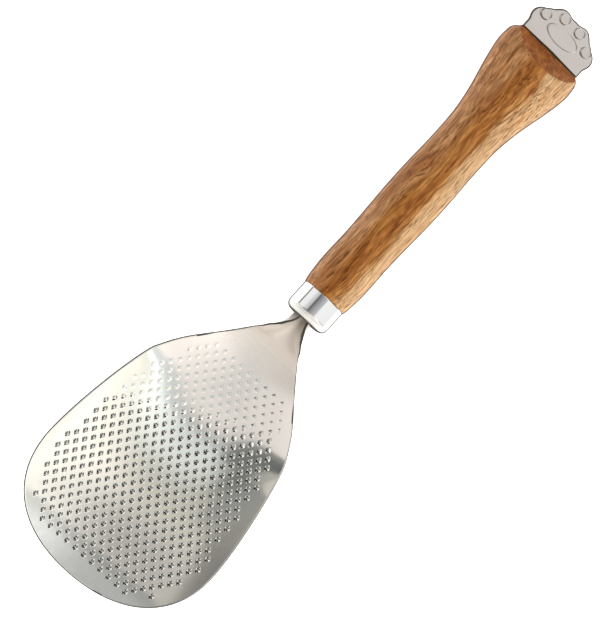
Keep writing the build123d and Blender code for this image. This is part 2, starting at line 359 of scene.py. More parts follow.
def polished_steel(name, tint, roughness, lines_mm, rim_start, rim_end, dark, soft):
    """Stainless steel, mill polished: a cold mirror with faint polishing lines and soft patches of haze."""
    material, node = new_material(name)
    place = node(PLACE).outputs["Object"]
    satin, painted_crown_shade, edge = (node(ATTRIBUTE, attribute_name=layer).outputs["Fac"] for layer in ("satin", "painted_crown_shade", "edge"))
    haze = node(NOISE, {"Vector": place, "Scale": 1 / (18 * MM), "Detail": 3})
    shade = node(MIX, {0: haze, 6: dimmed(tint, 0.94), 7: tint}, data_type="RGBA")
    gloss = node(RANGE, {"Value": haze, "To Min": roughness * 0.8, "To Max": roughness * 1.25})
    # The wheel's lines run along the paddle, so they are stretched along Y
    stretch = node(STRETCH, {"Vector": place, "Scale": (1, 0.04, 1)})
    lines = node(NOISE, {"Vector": stretch, "Scale": 1 / (lines_mm * MM), "Detail": 2})
    relief = node(BUMP, {"Height": lines, "Strength": 0.05, "Distance": FINE_RELIEF})
    gloss = node(RANGE, {"Value": satin, "To Min": gloss, "To Max": SATIN_ROUGHNESS})
    # Painted shade greys the crowns, whose roughness also rises
    gloss = node(RANGE, {"Value": painted_crown_shade, "To Min": gloss, "To Max": CROWN_SHADE_ROUGHNESS})
    shade = node(MIX, {0: painted_crown_shade, 6: shade, 7: linear(CROWN_SHADE_GREY)}, data_type="RGBA")
    shader = node(PRINCIPLED, {"Base Color": shade, "Roughness": gloss, "Normal": relief, "Metallic": 1.0})
    # Satin scatters light as well as mirroring it
    scattered = node(MATHS, [satin, SATIN_SCATTER], operation="MULTIPLY")
    shader = node("ShaderNodeMixShader", [scattered, shader, node(MATTE, [linear(soft)])])
    # Painted shade, a dark matte, darkens the rounded edge, the folded neck flank and the faces that turn away
    node(OUTPUT, [with_painted_rim_shade(node, shader, dark, rim_start, rim_end, edge)])
    return material


def with_painted_rim_shade(node, shader, dark, start, end, extra=0.0):
    """The shader, mixed with painted shade, a dark matte, where the surface turns away or where the extra share says
    so.
    """
    turned = node("ShaderNodeLayerWeight", {"Blend": 0.5}).outputs["Facing"]
    rim = node(MATHS, [node(RANGE, [turned, start, end], **SOFT), extra], operation="MAXIMUM")
    return node("ShaderNodeMixShader", [rim, shader, node(MATTE, [linear(dark)])])


def drawn_steel():
    """Plain cold-drawn rod inside the paddle: dull grey with fine draw lines."""
    material, node = new_material("cold_drawn_steel")
    stretch = node(STRETCH, {"Vector": node(PLACE).outputs["Object"], "Scale": (1, 0.05, 1)})
    lines = node(NOISE, {"Vector": stretch, "Scale": 1 / (0.3 * MM), "Detail": 3})
    tones = node(MIX, {0: lines, 6: linear("#8C8C8E"), 7: linear("#B4B4B4")}, data_type="RGBA")
    relief = node(BUMP, {"Height": lines, "Strength": 0.2, "Distance": FINE_RELIEF})
    shader = node(PRINCIPLED, {"Base Color": tones, "Roughness": 0.35, "Normal": relief, "Metallic": 1.0})
    node(OUTPUT, [shader])
    return material


def satin_nickel(settings):
    """Die-cast zinc, bead-blasted and nickel plated: a warm grey satin with a very fine grain."""
    material, node = new_material("satin_nickel_plate")
    place = node(PLACE).outputs["Object"]
    cloud = node(NOISE, {"Vector": place, "Scale": 1 / (6 * MM), "Detail": 2})
    tones = node(MIX, {0: cloud, 6: dimmed(settings.nickel, 0.93), 7: settings.nickel}, data_type="RGBA")
    # Bead blasting leaves pits of about 0.15 mm
    grain = node(NOISE, {"Vector": place, "Scale": 1 / (0.15 * MM), "Detail": 2})
    relief = node(BUMP, {"Height": grain, "Strength": 0.12, "Distance": FINE_RELIEF})
    shader = node(
        PRINCIPLED, {"Base Color": tones, "Roughness": settings.roughness, "Normal": relief, "Metallic": 1.0}
    )
    # Painted shade darkens the casting's rounded arris; its rim is the edge's alone
    edge = node(ATTRIBUTE, attribute_name="edge").outputs["Fac"]
    node(OUTPUT, [with_painted_rim_shade(node, shader, "#4A4946", 1.0, 1.1, edge)])
    return material


def oiled_acacia(settings):
    """Acacia, sanded and oiled: reddish heartwood with dark growth lines and open pores, a painted sheen along the
    right side and painted shade along the left.
    """
    material, node = new_material("oiled_acacia")
    place = node(PLACE).outputs["Object"]

    # The grain wanders: one slow noise bends every other pattern sideways
    slow = node(STRETCH, {"Vector": place, "Scale": (1, 0.3, 1)})
    wander = node(NOISE, {"Vector": slow, "Scale": 1 / (9 * MM), "Detail": 2}).outputs["Color"]
    pushed = node(VECTORS, [wander, (0.5, 0.5, 0.5)], operation="SUBTRACT")
    pushed = node(VECTORS, [pushed, (6 * MM, 0, 6 * MM)], operation="MULTIPLY")
    bent = node(VECTORS, [place, pushed], operation="ADD")
    across = node(SPLIT, [bent]).outputs["X"]

    # Growth lines about 2 mm apart, drawn out along the handle, and fibres between them
    drawn, dashes, dots = (node(STRETCH, {"Vector": bent, "Scale": (1, length, 1)}) for length in (0.07, 0.09, 0.3))
    lines = node(NOISE, {"Vector": drawn, "Scale": 1 / (2.2 * MM), "Detail": 5, "Roughness": 0.7})
    fibres = node(NOISE, {"Vector": drawn, "Scale": 1 / (0.55 * MM), "Detail": 3})

    # Pores: dark dashes, 0.3 mm wide and a few millimetres long, and short ones that look like dots
    long_pores = node(NOISE, {"Vector": dashes, "Scale": 1 / (0.36 * MM), "Detail": 1})
    short_pores = node("ShaderNodeTexVoronoi", {"Vector": dots, "Scale": 1 / (1.2 * MM)}, feature="F1")
    crowd = node(NOISE, {"Vector": drawn, "Scale": 1 / (3 * MM), "Detail": 2})

    heart, sheen_tones, shade_tones, end_grain = (
        node(RAMP, [lines], stops)
        for stops in (
            [(0.3, settings.streak), (0.42, linear("#A9682F")), (0.52, settings.heartwood), (0.68, linear("#D69A58"))],
            [(0.32, linear("#BB7F4C")), (0.45, settings.painted_sheen), (0.62, linear("#EBC193"))],
            [(0.3, linear("#9A5F34")), (0.44, settings.shaded), (0.65, linear("#DCA878"))],
            [(0.3, linear("#7A3A08")), (0.5, linear("#A0540E")), (0.68, linear("#C4741E"))],
        )
    )
    # Painted light: by its place across the handle, the right side takes a lighter painted sheen and the left side
    # painted shade
    border = node(MATHS, [lines, 5 * MM, across], operation="MULTIPLY_ADD")
    sheen_share = node(RANGE, [border, 4.2 * MM, 5.6 * MM], **SOFT)
    shade_share = node(RANGE, [border, 0.0, -3.0 * MM], **SOFT)
    shade = node(MIX, {0: sheen_share, 6: heart, 7: sheen_tones}, data_type="RGBA")
    shade = node(MIX, {0: shade_share, 6: shade, 7: shade_tones}, data_type="RGBA")
    fibre_light = node(RANGE, [fibres, 0.3, 0.7, 0.68, 1.14], **SOFT)
    shade = node(VECTORS, {0: shade, "Scale": fibre_light}, operation="SCALE")
    drawn_pores, dotted = (
        node(MATHS, [node(RANGE, pore, **SOFT), node(RANGE, crowding, **SOFT)], operation="MULTIPLY")
        for pore, crowding in (
            ([long_pores, 0.58, 0.64], [crowd, 0.35, 0.55, 0.35, 1.0]),
            ([short_pores, 0.15, 0.09], [crowd, 0.46, 0.56]),
        )
    )
    pores = node(MATHS, [drawn_pores, dotted], operation="MAXIMUM")
    depth = node(MATHS, [pores, 0.75], operation="MULTIPLY")
    shade = node(MIX, {0: depth, 6: shade, 7: settings.pore}, data_type="RGBA")

    # End grain drinks more oil and goes darker, and the same darkening paints the shade of the facet that faces away
    # from the light, so a surface that faces along the handle is darker
    facing = node(SPLIT, [node("ShaderNodeNewGeometry").outputs["Normal"]]).outputs["Y"]
    oiled_and_shaded = node(RANGE, [node(MATHS, [facing], operation="ABSOLUTE"), 0.5, 0.6, 0.0, 0.9], **SOFT)
    shade = node(MIX, {0: oiled_and_shaded, 6: shade, 7: end_grain}, data_type="RGBA")

    height = node(MATHS, [fibres, pores], operation="SUBTRACT")
    relief = node(BUMP, {"Height": height, "Strength": 0.25, "Distance": 0.05 * MM})
    gloss = node(RANGE, [lines, 0.3, 0.7, settings.roughness * 1.15, settings.roughness * 0.9], **SOFT)
    shader = node(
        PRINCIPLED,
        {"Base Color": shade, "Roughness": gloss, "Normal": relief, "IOR": 1.48, "Specular IOR Level": 0.18},
    )
    # Painted shade darkens the wood where it turns away
    node(OUTPUT, [with_painted_rim_shade(node, shader, "#2E2018", 0.62, 0.85)])
    return material


# Blade: plan, dish and rolled neck, as the sheet was stamped

BLADE_HALF_WIDTH = 34.65 * MM
WIDEST_FROM_TIP = 29.0 * MM
SHOULDER_HALF_WIDTH = 28.0 * MM
SHOULDER_FROM_TIP = 70.1 * MM
SHOULDER_ANGLE = math.radians(27.7)
NECK_START_HALF_WIDTH = 9.3 * MM
NECK_START_FROM_TIP = 95.5 * MM
NECK_START_ANGLE = math.radians(37.2)
FIELD_TIP_MARGIN = 7.2 * MM
FIELD_SIDE_MARGIN = 4.9 * MM
FIELD_NECK_FROM_TIP = 83.2 * MM
NECK_RADIUS = 3.4 * MM
NECK_WRAP = math.radians(150)
# Pulls of the plan's curves at their ends, as shares of the width or length that each curve spans
TIP_PULLS = (0.626, 0.615)
FLANK_PULLS = (0.325, 0.105)
FLARE_PULLS = (0.511, 0.73)
LOOK_AHEAD = 1e-3
TABLE_STEPS = 80
# Distance from the tip, lift of the middle and bow radius, in millimetres
DISH_STATIONS = in_metres(
    (-3.0, 1.65, 122.56),
    (12.6, 0.693, 122.56),
    (36.0, 0.0, 122.56),
    (58.0, 0.65, 152.08),
    (73.0, 2.0, 201.6),
    (95.5, 4.3, 86.7),
)
# Place along the neck, width, lift and wrap, as shares of what they have at its two ends
NECK_SHARES = [
    (0.15, 0.842, 0.24, 0.16),
    (0.3, 0.719, 0.46, 0.29),
    (0.45, 0.547, 0.66, 0.47),
    (0.6, 0.411, 0.83, 0.67),
    (0.75, 0.342, 0.95, 0.85),
    (0.88, 0.328, 1.0, 0.96),
]
# The neck runs on unchanged past its end, so its last stretch stays straight
NECK_BEYOND = 1.4
# Rows close inside a wall's ends and outside its foot, as shares of the wall and of the land
WALL_ROW = 0.18
FOOT_ROW = 0.2
# Spacing of the points that fill the faces, and the least distance that they keep from the outline
FILL_SPACING = 1.5 * MM
FILL_MARGIN = 1.0 * MM
# How close a filling point may come to a pillow's cell, as a share of the cell
PILLOW_MARGIN = 0.25
# Spots of the lattice are told apart to this part of a cell, and spots of the plan to this many millimetres
LATTICE_PARTS = 1e4
PLAN_TOLERANCE = 1e-5
EDGE_STEPS = 40
# How far inside the edge's round the row lies that keeps it out of the faces
RIM_ROW = 0.3 * MM
NECK_COLUMNS = 24
NECK_ROWS = 44
# Where the left flank's fold starts, as a share of the neck's length, how far across it reaches, and its shade
FOLD_START = 0.4
FOLD_ACROSS = -0.45
FOLD_WIDTH = 0.15
FOLD_SHADE = 0.7
FADE_START = 52.0 * MM
FADE_END = 70.0 * MM
FADE_LEAN = 0.4
FADED_SHARE = 0.08
# Painted shade greys the crowns in the hollow of the blade, right of its middle, where their reflections are dark
CROWN_SHADE_ACROSS = 11.0 * MM
CROWN_SHADE_FROM_TIP = 57.0 * MM
CROWN_SHADE_WIDTH = 20.0 * MM
CROWN_SHADE_LENGTH = 14.0 * MM
CROWN_SHADE_LEFT = -16.0 * MM
CROWN_SHADE_SHARE = 0.6
# From here to the neck the sheet keeps the satin of the mandrel it was rolled on
SATIN_START = 84.0 * MM


def clamped(value):
    return min(max(value, 0.0), 1.0)


def heading(turn):
    """Direction in the plan, turned to the left from along the paddle."""
    return Vector((-math.sin(turn), math.cos(turn)))


def plan_curves():
    """Bezier curves of the blade's right side, from the tip to the neck, as (across, from tip)."""
    ends = [
        Vector((0, 0)),
        Vector((BLADE_HALF_WIDTH, WIDEST_FROM_TIP)),
        Vector((SHOULDER_HALF_WIDTH, SHOULDER_FROM_TIP)),
        Vector((NECK_START_HALF_WIDTH, NECK_START_FROM_TIP)),
    ]
    flank = SHOULDER_FROM_TIP - WIDEST_FROM_TIP
    flare = NECK_START_FROM_TIP - SHOULDER_FROM_TIP
    pulls = [
        (Vector((BLADE_HALF_WIDTH * TIP_PULLS[0], 0)), Vector((0, WIDEST_FROM_TIP * TIP_PULLS[1]))),
        (Vector((0, flank * FLANK_PULLS[0])), heading(SHOULDER_ANGLE) * flank * FLANK_PULLS[1]),
        (heading(SHOULDER_ANGLE) * flare * FLARE_PULLS[0], heading(NECK_START_ANGLE) * flare * FLARE_PULLS[1]),
    ]
    return [(start, start + ahead, end - back, end) for start, end, (ahead, back) in zip(ends, ends[1:], pulls)]


def bezier(curve, t):
    first, first_pull, last_pull, last = curve
    return first * (1 - t) ** 3 + first_pull * 3 * t * (1 - t) ** 2 + last_pull * 3 * t**2 * (1 - t) + last * t**3


def plan_outline(steps):
    """Points and outward directions along the right side, from the tip to the neck."""
    spots = []
    for curve in plan_curves():
        for step in range(steps):
            t = step / steps
            spot = bezier(curve, t)
            ahead = bezier(curve, t + LOOK_AHEAD) - spot
            spots.append((spot, Vector((ahead.y, -ahead.x)).normalized()))
    end = bezier(plan_curves()[-1], 1.0)
    behind = end - bezier(plan_curves()[-1], 1.0 - LOOK_AHEAD)
    spots.append((end, Vector((behind.y, -behind.x)).normalized()))
    return spots


def half_width_table():
    """(from tip, half width) pairs along the plan, close enough to read between."""
    return [(spot.y, spot.x) for spot, _ in plan_outline(TABLE_STEPS)]


def half_width_at(table, from_tip):
    if from_tip <= 0:
        return 0.0
    for (low, width), (high, after) in zip(table, table[1:]):
        if low <= from_tip <= high:
            return width + (after - width) * (from_tip - low) / (high - low)
    return table[-1][1]


def dish(across, from_tip, depth=0.0):
    """A point of the dished sheet, at a depth below its front."""
    lift = through([(place, rise) for place, rise, _ in DISH_STATIONS], from_tip)
    bow = 1 / through([(place, 1 / radius) for place, _, radius in DISH_STATIONS], from_tip)
    sheet = bpy.context.scene.paddle_blade.sheet
    centre = sheet + lift + bow
    radius = bow + depth
    return Vector((across, TIP_Y + from_tip, centre - math.sqrt(radius**2 - across**2)))


def upright(across, from_tip):
    """Unit vector square to the dished front."""
    step = 0.2 * MM
    right = dish(across + step, from_tip) - dish(across - step, from_tip)
    ahead = dish(across, from_tip + step) - dish(across, from_tip - step)
    return right.cross(ahead).normalized()


def neck_loop(place, cross):
    """One loop round the rolled neck at a share of its length; cross gives (share, inset, depth) round the section."""
    sheet = bpy.context.scene.paddle_blade.sheet
    start_wrap = math.asin(NECK_START_HALF_WIDTH / DISH_STATIONS[-1][2]) / NECK_WRAP
    end_width = (NECK_RADIUS - sheet / 2) / NECK_START_HALF_WIDTH
    start_lift = DISH_STATIONS[-1][1]
    start_y = TIP_Y + NECK_START_FROM_TIP
    length, climb = FERRULE_FACE_Y - start_y, NECK_Z - NECK_RADIUS - start_lift
    # The row before the start lets the neck curl from nothing and climb on as the dish does
    before, width, lift, wrap = NECK_SHARES[0]
    dish_slope = (start_lift - DISH_STATIONS[-2][1]) / (NECK_START_FROM_TIP - DISH_STATIONS[-2][0])
    lift -= 2 * before * dish_slope * length / climb
    shares = [(-before, 2 - width, lift, wrap), (0.0, 1.0, 0.0, start_wrap)] + NECK_SHARES
    shares += [(1.0, end_width, 1.0, 1.0), (NECK_BEYOND, end_width, 1.0, 1.0)]
    width, rise, wrap = (
        through([(row[0], row[column]) for row in shares], min(place, 1.0)) for column in (1, 2, 3)
    )
    wrap *= NECK_WRAP
    inner = NECK_START_HALF_WIDTH * width / math.sin(min(wrap, math.pi / 2)) - sheet / 2
    low = start_lift + climb * rise
    centre = low + sheet + inner
    y = start_y + length * place
    loop = []
    for across, inset, depth in cross:
        radius = inner + depth
        turn = across * (wrap - inset / (inner + sheet / 2))
        loop.append(Vector((radius * math.sin(turn), y, centre - radius * math.cos(turn))))
    return loop


def edge_profile(sheet, edge_round):
    """(inset, depth) pairs from the front face round the sheet's edge to its back."""
    front = [(edge_round * (1 - math.sin(turn)), edge_round * (1 - math.cos(turn))) for turn in quarter(steps=3)]
    return front + [(inset, sheet - depth) for inset, depth in reversed(front)]


def lattice_cells(settings, table):
    """Whole-number lattice places (i, j) of the pillows that fit in the field."""
    rows = int(FIELD_NECK_FROM_TIP / settings.pitch_along * 2) + 1
    columns = int(BLADE_HALF_WIDTH / settings.pitch_across * 2) + 1
    cells = set()
    for row in range(rows):
        from_tip = FIELD_NECK_FROM_TIP - row * settings.pitch_along / 2
        if from_tip < FIELD_TIP_MARGIN:
            break
        reach = half_width_at(table, from_tip) - FIELD_SIDE_MARGIN
        for column in range(-columns, columns + 1):
            if (row + column) % 2 == 0 and abs(column * settings.pitch_across / 2) <= reach:
                cells.add(((column - row) // 2, (-row - column) // 2))
    return cells


def cell_spot(settings, i, j):
    """(across, from tip) of a lattice place."""
    return (i - j) * settings.pitch_across / 2, FIELD_NECK_FROM_TIP + (i + j) * settings.pitch_along / 2


def cell_of(settings, across, from_tip):
    """Lattice place (i, j) of a spot, which is its pillow's once it is rounded."""
    along = (from_tip - FIELD_NECK_FROM_TIP) / settings.pitch_along
    return along + across / settings.pitch_across, along - across / settings.pitch_across


def cell_steps(settings, fine):
    """Places of the grid lines across one cell, as shares of the cell from its middle."""
    side = math.hypot(settings.pitch_across, settings.pitch_along) / 2
    foot, crown = settings.foot_side / side / 2, settings.crown_side / side / 2
    if fine:
        # The rows at the wall's ends keep most of its width straight
        wall = foot - crown
        half = [crown, crown + wall * WALL_ROW, foot - wall * WALL_ROW, foot, foot + (0.5 - foot) * FOOT_ROW]
    else:
        half = [crown, foot]
    return [-0.5] + [-part for part in reversed(half)] + half + [0.5]


def pillow_quads(settings, cells, steps):
    """Spots of the grid under the pillows, its aligned quads, and the pairs of spots along its outline."""
    spots, index_of, faces = [], {}, []

    def spot_index(i, j):
        key = (round(i * LATTICE_PARTS), round(j * LATTICE_PARTS))
        if key not in index_of:
            index_of[key] = len(spots)
            spots.append(cell_spot(settings, i, j))
        return index_of[key]

    for i, j in sorted(cells):
        for low, high in zip(steps, steps[1:]):
            for left, right in zip(steps, steps[1:]):
                corners = ((i + low, j + left), (i + high, j + left), (i + high, j + right), (i + low, j + right))
                faces.append(tuple(spot_index(*corner) for corner in corners))
    uses = {}
    for face in faces:
        for start, end in zip(face, face[1:] + face[:1]):
            key = (min(start, end), max(start, end))
            uses[key] = uses.get(key, 0) + 1
    return spots, faces, [key for key, count in uses.items() if count == 1]


def fill_spots(settings, table, cells):
    """Spots in even rows between the pillows and the blade's outline."""
    spots = []
    for row in range(1, int(NECK_START_FROM_TIP / FILL_SPACING)):
        from_tip = row * FILL_SPACING
        reach = half_width_at(table, from_tip) - FILL_MARGIN
        count = int(reach / FILL_SPACING)
        for column in range(-count, count + 1):
            across = column * FILL_SPACING + (row % 2) * FILL_SPACING / 2
            i, j = cell_of(settings, across, from_tip)
            nudges = (-PILLOW_MARGIN, 0, PILLOW_MARGIN)
            crowded = any((round(i + di), round(j + dj)) in cells for di in nudges for dj in nudges)
            if abs(across) <= reach and not crowded and from_tip < NECK_START_FROM_TIP - FILL_MARGIN:
                spots.append(Vector((across, from_tip)))
    return spots


def flat_blank(settings, table, cells, steps):
    """Plan mesh of one of the blade's faces: aligned quads under the pillows and triangles out to the edge.

    Returns the plan's spots, its faces, and the places in it of the edge, from the neck round the tip, and the chord.
    """
    spots, faces, rim_edges = pillow_quads(settings, cells, steps)
    rim_inset = settings.edge_round
    right = [spot - outward * rim_inset for spot, outward in plan_outline(EDGE_STEPS)]
    neck_y = right[-1].y
    right[-1] = Vector((NECK_START_HALF_WIDTH - rim_inset, neck_y))
    edge = [(spot.x, spot.y) for spot in reversed(right)] + [(-spot.x, spot.y) for spot in right[1:]]
    chord = [(-right[-1].x * (1 - 2 * step / NECK_COLUMNS), neck_y) for step in range(1, NECK_COLUMNS)]
    ring = edge + chord

    near = sorted({point for edge_pair in rim_edges for point in edge_pair})
    local = {point: place for place, point in enumerate(near)}
    flat = [Vector(spots[point]) for point in near] + [Vector(spot) for spot in ring]
    first = len(near)
    sides = [(local[a], local[b]) for a, b in rim_edges]
    sides += [(first + place, first + (place + 1) % len(ring)) for place in range(len(ring))]
    # A row close inside the edge keeps the round of the edge out of the face's reflections
    row = [spot - outward * (rim_inset + RIM_ROW) for spot, outward in plan_outline(EDGE_STEPS)[1:-2]]
    row = [Vector((-spot.x, spot.y)) for spot in reversed(row)] + row
    sides += [(len(flat) + place, len(flat) + place + 1) for place in range(len(row) - 1)]
    flat += row + fill_spots(settings, table, cells)
    # The plan is triangulated in millimetres
    scale = 1000.0
    verts, _, triangles, origin, _, _ = delaunay_2d_cdt([spot * scale for spot in flat], sides, [], 0, PLAN_TOLERANCE)
    remap = {}
    for place, spot in enumerate(verts):
        sources = [source for source in origin[place] if source < first]
        if sources:
            remap[place] = near[sources[0]]
        else:
            remap[place] = len(spots)
            spots.append((spot.x / scale, spot.y / scale))
    ring_index = {}
    for place in range(len(verts)):
        for source in origin[place]:
            if source >= first:
                ring_index[source - first] = remap[place]
    for triangle in triangles:
        middle = sum((verts[place] for place in triangle), Vector((0, 0))) / 3 / scale
        i, j = cell_of(settings, middle.x, middle.y)
        inside = abs(middle.x) < half_width_at(table, middle.y) and middle.y < neck_y
        if inside and (round(i), round(j)) not in cells:
            faces.append(tuple(remap[place] for place in triangle))
    edge_indices = [ring_index[place] for place in range(len(edge))]
    chord_indices = [ring_index[len(edge) + place] for place in range(len(chord))]
    return spots, faces, edge_indices, chord_indices


def press_tree(settings, material):
    """Geometry nodes that press one pillow into each cell of the lattice."""
    tree = bpy.data.node_groups.new("press_pillows", "GeometryNodeTree")
    sizes = {
        "Pitch Across": settings.pitch_across,
        "Pitch Along": settings.pitch_along,
        "Foot Side": settings.foot_side,
        "Crown Side": settings.crown_side,
        "Height": settings.bump_height,
    }
    tree.interface.new_socket("Geometry", in_out="INPUT", socket_type="NodeSocketGeometry")
    identifiers = {}
    for name, value in [*sizes.items(), ("Material", material)]:
        kind = "NodeSocketMaterial" if name == "Material" else "NodeSocketFloat"
        identifiers[tree.interface.new_socket(name, in_out="INPUT", socket_type=kind).identifier] = value
    tree.interface.new_socket("Geometry", in_out="OUTPUT", socket_type="NodeSocketGeometry")
    node = partial(add_node, tree)
    given = node("NodeGroupInput").outputs

    plan, square = (
        node("GeometryNodeInputNamedAttribute", {"Name": layer}, data_type="FLOAT_VECTOR")
        for layer in ("plan", "upright")
    )
    place = node(SPLIT, [plan]).outputs
    across = node(MATHS, [place["X"], given["Pitch Across"]], operation="DIVIDE")
    along = node(MATHS, [place["Y"], given["Pitch Along"]], operation="DIVIDE")
    squares = [node(MATHS, [given[name], 2.0], operation="POWER") for name in ("Pitch Across", "Pitch Along")]
    diagonal = node(MATHS, [node(MATHS, squares, operation="ADD")], operation="SQRT")
    # Half a side of the pillow as a share of the cell, whose side is half of the cell's diagonal
    foot, crown = (node(MATHS, [given[name], diagonal], operation="DIVIDE") for name in ("Foot Side", "Crown Side"))
    rise = given["Height"]
    for operation in ("ADD", "SUBTRACT"):
        lattice = node(MATHS, [along, across], operation=operation)
        from_middle = node(MATHS, [lattice, node(MATHS, [lattice], operation="ROUND")], operation="SUBTRACT")
        slope = node(RANGE, [node(MATHS, [from_middle], operation="ABSOLUTE"), foot, crown])
        rise = node(MATHS, [rise, slope], operation="MULTIPLY")
    rise = node(MATHS, [rise, place["Z"]], operation="MULTIPLY")
    push = node(VECTORS, {0: square, "Scale": rise}, operation="SCALE")
    pressed = node("GeometryNodeSetPosition", {"Geometry": given["Geometry"], "Offset": push})
    real = node("GeometryNodeRealizeInstances", [pressed])
    node("NodeGroupOutput", [node("GeometryNodeSetMaterial", {"Geometry": real, "Material": given["Material"]})])
    return tree, identifiers


def blade_shell(settings):
    """The blade as one closed shell, still without its pillows.

    Returns the two faces' spots in the plan, the pillows' cells, the shell's points and faces, how much painted shade
    each point of the rounded edge and the folded neck takes, and the count of the front's spots, which come first.
    """
    table = half_width_table()
    cells = lattice_cells(settings, table)
    spots, faces, edge, chord = flat_blank(settings, table, cells, cell_steps(settings, True))
    back_spots, back_faces, back_edge, back_chord = flat_blank(settings, table, cells, cell_steps(settings, False))
    profile = edge_profile(settings.sheet, settings.edge_round)
    count = len(spots)
    points = [dish(*spot) for spot in spots] + [dish(*spot, settings.sheet) for spot in back_spots]
    skin = faces + [tuple(point + count for point in reversed(face)) for face in back_faces]

    # The rounded edge joins the two faces along the plan
    right = plan_outline(EDGE_STEPS)
    round_tip = [(spot.x, spot.y, outward) for spot, outward in reversed(right)]
    round_tip += [(-spot.x, spot.y, Vector((-outward.x, outward.y))) for spot, outward in right[1:]]
    rings, painted_shade_points = [], {}
    for place, (x, y, outward) in enumerate(round_tip):
        ring = [edge[place]]
        at_neck = place in (0, len(round_tip) - 1)
        for inset, depth in profile[1:-1]:
            if at_neck:
                spot = (x - math.copysign(inset, x), y)
            else:
                spot = (x - outward.x * inset, y - outward.y * inset)
            ring.append(len(points))
            painted_shade_points[len(points)] = 1.0
            points.append(dish(*spot, depth))
        ring.append(back_edge[place] + count)
        rings.append(ring)
    for ring, after in zip(rings, rings[1:]):
        for step in range(len(ring) - 1):
            skin.append((ring[step], ring[step + 1], after[step + 1], after[step]))

    # The neck's first loop is the end of the blade; the next ones close up into the tube
    front = [(2 * step / NECK_COLUMNS - 1, settings.edge_round, 0.0) for step in range(NECK_COLUMNS + 1)]
    right_edge = [(1.0, inset, depth) for inset, depth in profile[1:-1]]
    back = [(-across, inset, settings.sheet) for across, inset, _ in front]
    left_edge = [(-1.0, inset, depth) for inset, depth in reversed(profile[1:-1])]
    cross = front + right_edge + back + left_edge
    neck_front = [edge[-1]] + chord + [edge[0]]
    neck_back = [back_edge[-1]] + back_chord + [back_edge[0]]
    loop = neck_front + rings[0][1:-1] + [point + count for point in reversed(neck_back)]
    loop += list(reversed(rings[-1][1:-1]))
    end_place = (NECK_END_Y - TIP_Y - NECK_START_FROM_TIP) / (FERRULE_FACE_Y - TIP_Y - NECK_START_FROM_TIP)
    for row in range(1, NECK_ROWS + 1):
        after = list(range(len(points), len(points) + len(cross)))
        for side in (len(front), len(front) + len(right_edge) + len(back)):
            painted_shade_points.update(dict.fromkeys(after[side : side + len(right_edge)], 1.0))
        # The left flank lies in its own fold's shade
        folded = clamped((row / NECK_ROWS - FOLD_START) / (1 - FOLD_START) * 2)
        for point, (across, _, _) in zip(after, cross):
            painted_shade_points.setdefault(point, FOLD_SHADE * folded * clamped((FOLD_ACROSS - across) / FOLD_WIDTH))
        points += neck_loop(end_place * row / NECK_ROWS, cross)
        for step in range(len(loop)):
            beyond = (step + 1) % len(loop)
            skin.append((loop[step], loop[beyond], after[beyond], after[step]))
        loop = after
    for step in range(NECK_COLUMNS):
        back_step = len(front) + len(right_edge) + NECK_COLUMNS - step
        skin.append((loop[step], loop[step + 1], loop[back_step - 1], loop[back_step]))
    return spots + back_spots, cells, points, skin, painted_shade_points, count


def press_share(across, from_tip):
    """The press bites less towards the neck, and first on the left, where the pillows fade to faint dots."""
    part = clamped((from_tip - FADE_LEAN * across - FADE_START) / (FADE_END - FADE_START))
    return 1 - (1 - FADED_SHARE) * part * part * (3 - 2 * part)


def make_blade(settings, material):
    """The blade's shell, with its pillows pressed and its painted crown shade, satin and painted edge shade as
    attributes.
    """
    spots, cells, points, skin, painted_shade_points, front_count = blade_shell(settings)
    mesh = bpy.data.meshes.new("blade")
    mesh.from_pydata(points, [], skin)
    kinds = {"plan": "FLOAT_VECTOR", "upright": "FLOAT_VECTOR", "edge": "FLOAT", "satin": "FLOAT", "painted_crown_shade": "FLOAT"}
    for name, kind in kinds.items():
        mesh.attributes.new(name, kind, "POINT")
    plan, square, edge, satin, painted_crown_shade = (mesh.attributes[name] for name in kinds)
    # Half of a crown's side as a share of the cell, and a little more, so that its own corners lie inside
    crown_reach = settings.crown_side / math.hypot(settings.pitch_across, settings.pitch_along) * 1.01
    for place, point in enumerate(points):
        # The edge attribute carries painted shade along the rounded edge and the folded flank
        edge.data[place].value = painted_shade_points.get(place, 0.0)
        satin.data[place].value = clamped((point[1] - TIP_Y - SATIN_START) / (NECK_START_FROM_TIP - SATIN_START))
    for place, (across, from_tip) in enumerate(spots):
        i, j = cell_of(settings, across, from_tip)
        pressed = any((round(i + di), round(j + dj)) in cells for di in (-0.01, 0.01) for dj in (-0.01, 0.01))
        bite = press_share(across, from_tip) if pressed else 0.0
        plan.data[place].vector = (across, from_tip - FIELD_NECK_FROM_TIP, bite)
        on_crown = max(abs(i - round(i)), abs(j - round(j))) < crown_reach
        # Painted shade on the crowns, strongest in an oval right of the middle and fading to the left
        from_shade_middle = math.hypot((across - CROWN_SHADE_ACROSS) / CROWN_SHADE_WIDTH, (from_tip - CROWN_SHADE_FROM_TIP) / CROWN_SHADE_LENGTH)
        painted_share = bite * max(1 - from_shade_middle**2, CROWN_SHADE_SHARE * clamped((across - CROWN_SHADE_LEFT) / CROWN_SHADE_WIDTH))
        painted_crown_shade.data[place].value = painted_share if on_crown and place < front_count else 0.0
        square.data[place].vector = upright(across, from_tip)
    piece = new_object("blade_sheet", mesh)
    tree, identifiers = press_tree(settings, material)
    press = piece.modifiers.new("press", "NODES")
    press.node_group = tree
    for identifier, value in identifiers.items():
        press[identifier] = value
    bake(piece)
    for name in ("plan", "upright"):
        piece.data.attributes.remove(piece.data.attributes[name])
    weld(piece.data, dissolve=False)
    return piece


# Ferrule: a drawn cup, turned about the handle's axis

